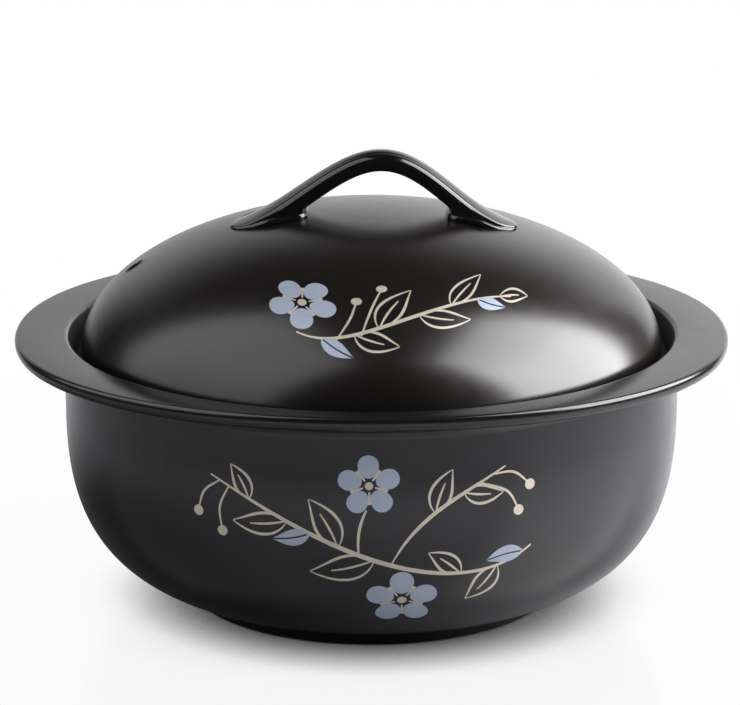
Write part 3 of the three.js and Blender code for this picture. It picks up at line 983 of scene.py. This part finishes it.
def oval(centre, way, half_length, half_width, columns, rows, ends, swell=0.0):
    """A filled ellipse as a grid along way, with half-widths w sqrt(1 - t^2)(1 + swell t)."""
    t = -np.cos(np.linspace(ends, math.pi - ends, rows))
    half = half_width * np.sqrt(1 - t ** 2) * (1 + swell * t)
    return band(centre + half_length * t[:, None] * way, half, -half, columns)


def dot(centre, radius):
    """A filled disc."""
    return oval(np.array(centre, float), unit_way(0), radius, radius, columns=5, rows=17, ends=0.12)


def blossom(centre, radius, turn, count=5):
    """The lines and solids of a blossom: a heart, and stamens between round petals.

    A petal is an ellipse from 0.24 of the radius to all of it. A stamen is a fine ray with a
    dot at its end.
    """
    petal_middle, petal_half_length, petal_half_width = 0.62 * radius, 0.38 * radius, 0.33 * radius
    ray_share = np.linspace(0.2, 0.5, 8)[:, None]
    ray_width, dot_radius, dot_share, heart_share = 0.9, 0.9, 0.05, 0.13
    centre = np.array(centre, float)
    lines = [dot(centre, heart_share * radius)]
    solids = []
    for bearing in turn + np.arange(count) * 360 / count:
        way = unit_way(bearing)
        middle = centre + petal_middle * way
        sizes = {"columns": 7, "rows": 25, "ends": 0.1, "swell": 0.12}
        solids.append(oval(middle, way, petal_half_length, petal_half_width, **sizes))
        between = unit_way(bearing + 180 / count)
        ray = centre + between * ray_share * radius
        lines.append(stroke(ray, ray_width, ends=0.7))
        lines.append(dot(ray[-1] + between * dot_share * radius, dot_radius))
    return lines, solids


def on_section(section, sheet, height, lift):
    """Lays a flat sheet on a turned surface.

    The section runs upwards. A sheet point (u, v) in mm goes v plus height up along it, and
    round the front by u over the radius there, and is lifted along the section's normal.
    """
    steps = np.linalg.norm(np.diff(section, axis=0), axis=1)
    travelled = np.concatenate([[0], np.cumsum(steps)])
    way = np.gradient(section, travelled, axis=0)
    distance = height + sheet[..., 1] * MM
    radius, level, outward, inward = (
        np.interp(distance, travelled, column)
        for column in (section[:, 0], section[:, 1], way[:, 1], way[:, 0])
    )
    size = np.hypot(outward, inward)
    bearing = FRONT + sheet[..., 0] * MM / radius
    reach = radius + lift * outward / size
    x = reach * np.cos(bearing)
    y = reach * np.sin(bearing)
    return np.stack([x, y, level - lift * inward / size], -1)


def film(name, section, sheets, height):
    """Makes one piece of fired film from flat sheets, each a thin closed plate on a section.

    A plate has an upper and a lower grid and a rim of quads that joins their borders. Sheets lie
    in seven layers, one after another, so that none shares a face where they cross.
    """
    proud, sunk, layer, layers = 0.05 * MM, 0.2 * MM, 0.004 * MM, 7
    points, quads = [], []
    count = 0
    for index, sheet in enumerate(sheets):
        rows, columns = sheet.shape[:2]
        for lift in (proud + index % layers * layer, -sunk):
            points.append(on_section(section, sheet, height, lift).reshape(-1, 3))
        upper, lower = count + np.arange(2 * rows * columns).reshape(2, rows, columns)
        high, low = (
            np.concatenate([side[:, 0], side[-1, 1:], side[-2::-1, -1], side[0, -2::-1]])
            for side in (upper, lower)
        )
        for grid in (upper, lower.T, np.stack([low, high], -1)):
            quads.append(grid_quads(grid).reshape(-1, 4))
        count += 2 * rows * columns
    piece = make_piece(name, np.concatenate(points), np.concatenate(quads))
    piece.data.set_sharp_from_angle(angle=math.radians(40))
    return piece


def leaves_along(line, maker, places):
    """Leaves that leave a line, each given as (share of its length, turn, size, width).

    The turn is in degrees to the left of the line's way, and a leaf bends back to that way.
    """
    way = np.gradient(line, axis=0)
    bend = 0.22
    sheets = []
    for share, turn, size, width in places:
        index = round(share * (len(line) - 1))
        heading = math.degrees(math.atan2(way[index, 1], way[index, 0])) + turn
        sheets += maker(line[index], heading, size, width, math.copysign(bend, -turn))
    return sheets


def berries(stalks, stalk_width=1.0, radius=2.2):
    """Berries on thin stalks, each given as (start, bend point, end)."""
    sheets = []
    for start, bend_point, end in stalks:
        sheets.append(stroke(curve([start, bend_point, bend_point, end], 24), stalk_width, 0.6))
        sheets.append(dot(end, radius))
    return sheets


def pot_ornament():
    """Lines and solids of the bowl's ornament in mm: u to the right, v up, from its middle.

    A long branch runs from the right down and up to the left, with leaves in outline along
    it, a fork to the right, two blossoms and sprays of berries.
    """
    branch = curve([(66, -10), (30, -36), (-22, 0), (-66, 20)], 90)
    fork = curve([(8, -13), (18, 8), (34, 14), (54, 25)], 60)
    stalk = curve([(-5, -9), (-6, 0), (-4, 6), (-2, 10)], 24)
    branch_leaves = [(0.14, 48, 20, 9), (0.26, -50, 16, 8), (0.52, 46, 25, 11)]
    branch_leaves += [(0.62, -48, 22, 10), (0.76, 44, 22, 9), (0.88, -46, 15, 7)]
    fork_leaves = [(0.45, 44, 18, 8.5), (0.7, -46, 16, 7.5)]
    sprays = [((-62, 18), (-70, 13), (-72, 4)), ((-58, 16), (-63, 7), (-61, -3))]
    sprays += [((48, 22), (58, 23), (65, 16)), ((44, 19), (56, 15), (60, 6))]
    lines = [stroke(branch, 2.0, 0.35), stroke(fork, 1.6, 0.35)]
    lines += leaves_along(branch, drawn_leaf, branch_leaves)
    lines += leaves_along(fork, drawn_leaf, fork_leaves)
    lines += berries(sprays)
    solids = []
    for centre, radius, turn in (((12, -31.5), 14.5, 90), ((-1, 20), 12.5, 20)):
        stamens, petals = blossom(centre, radius, turn)
        lines += stamens
        solids += petals
    lines.append(stroke(stalk, 1.2, 0.6))
    solids += leaves_along(branch, solid_leaf, [(0.03, -35, 16, 7.5), (0.7, 50, 15, 7)])
    return lines, solids


def lid_ornament():
    """Lines and solids of the lid's ornament in mm: u to the right, v up, from its middle.

    A short branch with one blossom to the left, leaves to the right and a few berries.
    """
    branch = curve([(-30, -12), (-6, -24), (24, 12), (60, 2)], 80)
    leaves = [(0.3, -48, 18, 9), (0.42, 50, 24, 10), (0.6, -46, 21, 9)]
    leaves += [(0.74, 48, 21, 9), (0.95, 10, 14, 7)]
    stamens, petals = blossom((-28, 4), 14.5, 54)
    lines = [stroke(branch, 1.8, 0.35)]
    lines += leaves_along(branch, drawn_leaf, leaves)
    lines += berries([((-14, -15.5), (-8, -4), (-6, 6)), ((-4, -13), (0, 2), (4, 14))])
    lines += stamens
    solid_leaves = [(0.14, -46, 15, 7), (0.85, -44, 14, 6.5)]
    return lines, petals + leaves_along(branch, solid_leaf, solid_leaves)


class CASSEROLE_OT_ornament(bpy.types.Operator):
    """Lays the fired blossom ornament on the front of the bowl and the lid"""

    bl_idname = "casserole.ornament"
    bl_label = "Ornament"

    def execute(self, context):
        scene = context.scene
        pot, lid, colours = scene.casserole_pot, scene.casserole_lid, scene.casserole_colours
        films = {"lustre_lines": lustre_film(colours), "enamel_blossoms": pearl_enamel(colours)}
        wall = np.array([[pot.bowl_radius, pot.rim_height - pot.root_thickness]])
        bowl = np.concatenate([outer_heel(pot)[::-1], wall])
        for body, section, height, ornament in (
            ("pot", bowl, 84 * MM, pot_ornament()),
            ("lid", outer_dome(lid), 50 * MM, lid_ornament()),
        ):
            for (title, material), sheets in zip(films.items(), ornament):
                piece = film(f"{body}_{title}", section, sheets, height)
                seat_piece(piece, body, material)
        return {"FINISHED"}


def towards(bearing, elevation):
    """A unit way, with its bearing in degrees from the back round to the right."""
    turn, rise = math.radians(bearing), math.radians(elevation)
    level = math.cos(rise)
    return Vector((math.sin(turn) * level, math.cos(turn) * level, math.sin(rise)))


def softbox(name, back, distance, width, height, radiance):
    """A soft lamp that faces the pot. Its power is radiance times pi times its area.

    It gives the matt light and the shadows. The glaze mirrors the panels in the world instead.
    """
    lamp_data = bpy.data.lights.new(name, "AREA")
    lamp_data.shape = "RECTANGLE"
    lamp_data.size = width
    lamp_data.size_y = height
    lamp_data.energy = radiance * math.pi * width * height
    lamp = in_scene(name, lamp_data)
    lamp.location = Vector((0, 0, POT_HIGH.z)) + back * distance
    lamp.rotation_euler = back.to_track_quat("Z", "Y").to_euler()
    lamp.visible_camera = False
    lamp.visible_glossy = False


def panel_share(add, way, face, half_width, bottom, top, edge=0.12, least=0.001):
    """How far a way looked in falls on a soft-edged panel, from 0 to 1.

    The panel's plane is a unit away and square to the way face. A way w meets it at
    (w . side, w . up) / (w . face). Both are counted from the panel's middle in half sizes, so
    the larger is 1 at its rim, and the share falls from 1 to 0 over an edge on both sides of it.
    """
    side = Vector((0, 0, 1)).cross(face).normalized()
    up = face.cross(side) - face * (top + bottom) / 2
    across, along, ahead = (
        add("VectorMath", {0: way, 1: axis}, "Value", operation="DOT_PRODUCT")
        for axis in (side / half_width, up * 2 / (top - bottom), face)
    )
    across, along = (add("Math", {0: part}, operation="ABSOLUTE") for part in (across, along))
    ahead = add("Math", {0: ahead, 1: least}, operation="MAXIMUM")
    off = add("Math", {0: across, 1: along}, operation="MAXIMUM")
    off = add("Math", {0: off, 1: ahead}, operation="DIVIDE")
    return add("MapRange", {0: off, 1: 1 + edge, 2: 1 - edge}, interpolation_type="SMOOTHSTEP")


def seen_directly(add):
    """1 for what the camera sees, straight or through glass, and 0 for light and mirror images."""
    rays = ("Is Camera Ray", "Is Transmission Ray")
    inputs = {place: add("LightPath", output=ray) for place, ray in enumerate(rays)}
    return add("Math", inputs, operation="MAXIMUM")


def studio_world(stage):
    """A white room to the camera. The glaze mirrors two softboxes and a pale wall in a dark room.

    The wall's light is two products of steps over the way looked in: it starts behind the pot,
    ends under a dark ceiling and short of the key, and is brighter and higher on the right. The
    softboxes are dimmer towards the key's top and the left one's foot. A step is given as
    (what it follows, start, end) and, where it isn't from 0 to 1, the values there.
    """
    world = bpy.data.worlds.new("studio")
    bpy.context.scene.world = world
    add = emptied(world)
    way = add("TexCoord", output="Generated")
    right, back, up = add("SeparateXYZ", {0: way}, slice(0, 3))
    behind, low, started, high, lit, ended, key_fade, side_fade = (
        add("MapRange", dict(enumerate(step)))
        for step in (
            (back, 0.0, 0.3),
            (up, 0.6, 0.34),
            (right, -0.68, -0.4),
            (up, 0.68, 0.4),
            (right, -0.14, 0.2),
            (right, 0.64, 0.52),
            (up, 0.6, 0.95, 1.0, 0.5),
            (up, 0.0, 0.7, 0.62, 1.0),
        )
    )
    key = panel_share(add, way, towards(92, 15), half_width=0.59, bottom=-0.36, top=1.38)
    side = panel_share(add, way, towards(-103, 20), half_width=0.74, bottom=-0.33, top=1.6)
    seen = stage.dark
    for light, *shares in (
        (stage.wall, behind, low, started, ended),
        (stage.wall, behind, high, lit, ended),
        (stage.key, key, key_fade),
        (stage.side, side, side_fade),
    ):
        for share in shares:
            light = add("Math", {0: share, 1: light}, operation="MULTIPLY")
        seen = add("Math", {0: light, 1: seen}, operation="ADD")
    glossy = add("LightPath", output="Is Glossy Ray")
    plain = add("Mix", {0: glossy, 2: stage.fill, 3: seen})
    strength = add("Mix", {0: seen_directly(add), 2: plain, 3: 1.0})
    sky = add("Background", {"Color": linear("#ffffff"), "Strength": strength})
    add("OutputWorld", {"Surface": sky})


def table_surface(tone):
    """White lacquered table: it keeps the pot's soft shadow and a faint blurred mirror image.

    The glaze mirrors it as a pale table under the lamps, with a painted shadow that darkens it on
    the pot's left, where the pot keeps the key off it, and paler painted light further out. To
    the camera it is white, dimmed by how much of the room over each place the pot hides, and its
    mirror fades further out.
    """
    room_reach, hidden, open_room = 0.3, 0.05, 0.45
    painted_shadow_middle, painted_shadow_start, painted_shadow_end = (-0.1, 0, 0), 0.1, 0.32
    painted_shadow_share, painted_light_share = 0.4, 1.8
    mirror_start, mirror_end, mirror_share, mirror_blur = 0.15, 0.4, 0.08, 0.2
    material = bpy.data.materials.new("white_lacquered_table")
    add = emptied(material)
    place = add("TexCoord", output="Object")
    room = add("AmbientOcclusion", {"Distance": room_reach}, "AO")
    shadow = add("MapRange", {0: room, 1: hidden, 2: open_room})
    # Painted shadow: the tone that the glaze mirrors is darker near a point left of the pot and paler
    # further out
    off_painted_shadow = add("VectorMath", {0: place, 1: painted_shadow_middle}, "Value", operation="DISTANCE")
    lit = add("MapRange", {0: off_painted_shadow, 1: painted_shadow_start, 2: painted_shadow_end})
    tones = {0: lit, MIX_A: shaded(tone, painted_shadow_share), MIX_B: shaded(tone, painted_light_share)}
    dull = add("BsdfDiffuse", {"Color": add("Mix", tones, MIX_RESULT, data_type="RGBA")})
    bright = add("Emission", {"Strength": shadow})
    paint = add("MixShader", {0: seen_directly(add), 1: dull, 2: bright})
    away = add("VectorMath", {0: place}, "Value", operation="LENGTH")
    fade = {0: away, 1: mirror_start, 2: mirror_end, 3: mirror_share, 4: 0}
    mirror = add("BsdfGlossy", {"Roughness": mirror_blur})
    lacquer = add("MixShader", {0: add("MapRange", fade), 1: paint, 2: mirror})
    add("OutputMaterial", {"Surface": lacquer})
    return material


def make_table(stage, tone, turns=96, rings=14, middle=0.05, gap=0.05 * MM):
    """A round table top as rings of quads about a small middle, just under the foot ring."""
    radii = [0, *np.geomspace(middle, stage.floor_radius, rings), 0]
    points, quads, fans = turned(np.column_stack([radii, np.full(len(radii), -gap)]), turns)
    mesh = bpy.data.meshes.new("table")
    faces = quads.reshape(-1, 4).tolist() + fans[:turns].tolist()
    mesh.from_pydata(points[:-1].tolist(), [], faces)
    mesh.materials.append(table_surface(tone))
    in_scene("table", mesh)


def make_camera(stage):
    """A long lens that looks down on the pot from the front."""
    lens_data = bpy.data.cameras.new("camera")
    lens_data.lens = stage.lens
    camera = in_scene("camera", lens_data)
    aim = Vector((-stage.aim_side, 0, stage.aim_height))
    back = Vector((0, -math.cos(stage.elevation), math.sin(stage.elevation)))
    camera.location = aim + back * stage.distance
    camera.rotation_euler = back.to_track_quat("Z", "Y").to_euler()
    bpy.context.scene.camera = camera


class CASSEROLE_OT_stage(bpy.types.Operator):
    """Sets the white table, the soft lamps, the white room and the camera"""

    bl_idname = "casserole.stage"
    bl_label = "Stage"

    def execute(self, context):
        stage = context.scene.casserole_stage
        make_camera(stage)
        make_table(stage, context.scene.casserole_colours.table)
        softbox("key_softbox", towards(90, 28), distance=1.0, width=1.0, height=0.85, radiance=11)
        softbox("left_softbox", towards(-100, 12), distance=1.1, width=0.8, height=0.5, radiance=4)
        studio_world(stage)
        context.scene.view_settings.view_transform = "Standard"
        return {"FINISHED"}


class CASSEROLE_PT_panel(bpy.types.Panel):
    """Lists the pieces of the pot and their settings in the sidebar"""

    bl_idname = "CASSEROLE_PT_panel"
    bl_label = "Casserole"
    bl_space_type = "VIEW_3D"
    bl_region_type = "UI"
    bl_category = "Casserole"

    def draw(self, context):
        for operator in OPERATORS:
            self.layout.operator(operator.bl_idname)
        for name, group in GROUPS.items():
            box = self.layout.box()
            box.label(text=group.__doc__)
            for setting in group.__annotations__:
                box.prop(getattr(context.scene, name), setting)


OPERATORS = (
    CASSEROLE_OT_stage,
    CASSEROLE_OT_pot,
    CASSEROLE_OT_lid,
    CASSEROLE_OT_handle,
    CASSEROLE_OT_ornament,
)
GROUPS = {
    "casserole_pot": PotSizes,
    "casserole_lid": LidSizes,
    "casserole_handle": HandleSizes,
    "casserole_colours": FinishColours,
    "casserole_stage": StageSettings,
}


def register():
    for kind in (*GROUPS.values(), *OPERATORS, CASSEROLE_PT_panel):
        bpy.utils.register_class(kind)
    for name, group in GROUPS.items():
        setattr(bpy.types.Scene, name, bpy.props.PointerProperty(type=group))


def unregister():
    for name in GROUPS:
        delattr(bpy.types.Scene, name)
    for kind in (CASSEROLE_PT_panel, *OPERATORS[::-1], *GROUPS.values()):
        bpy.utils.unregister_class(kind)


def main():
    """Makes the whole scene."""
    register()
    bpy.ops.casserole.stage()
    bpy.ops.casserole.pot()
    bpy.ops.casserole.lid()
    bpy.ops.casserole.handle()
    bpy.ops.casserole.ornament()


if __name__ == "__main__":
    main()
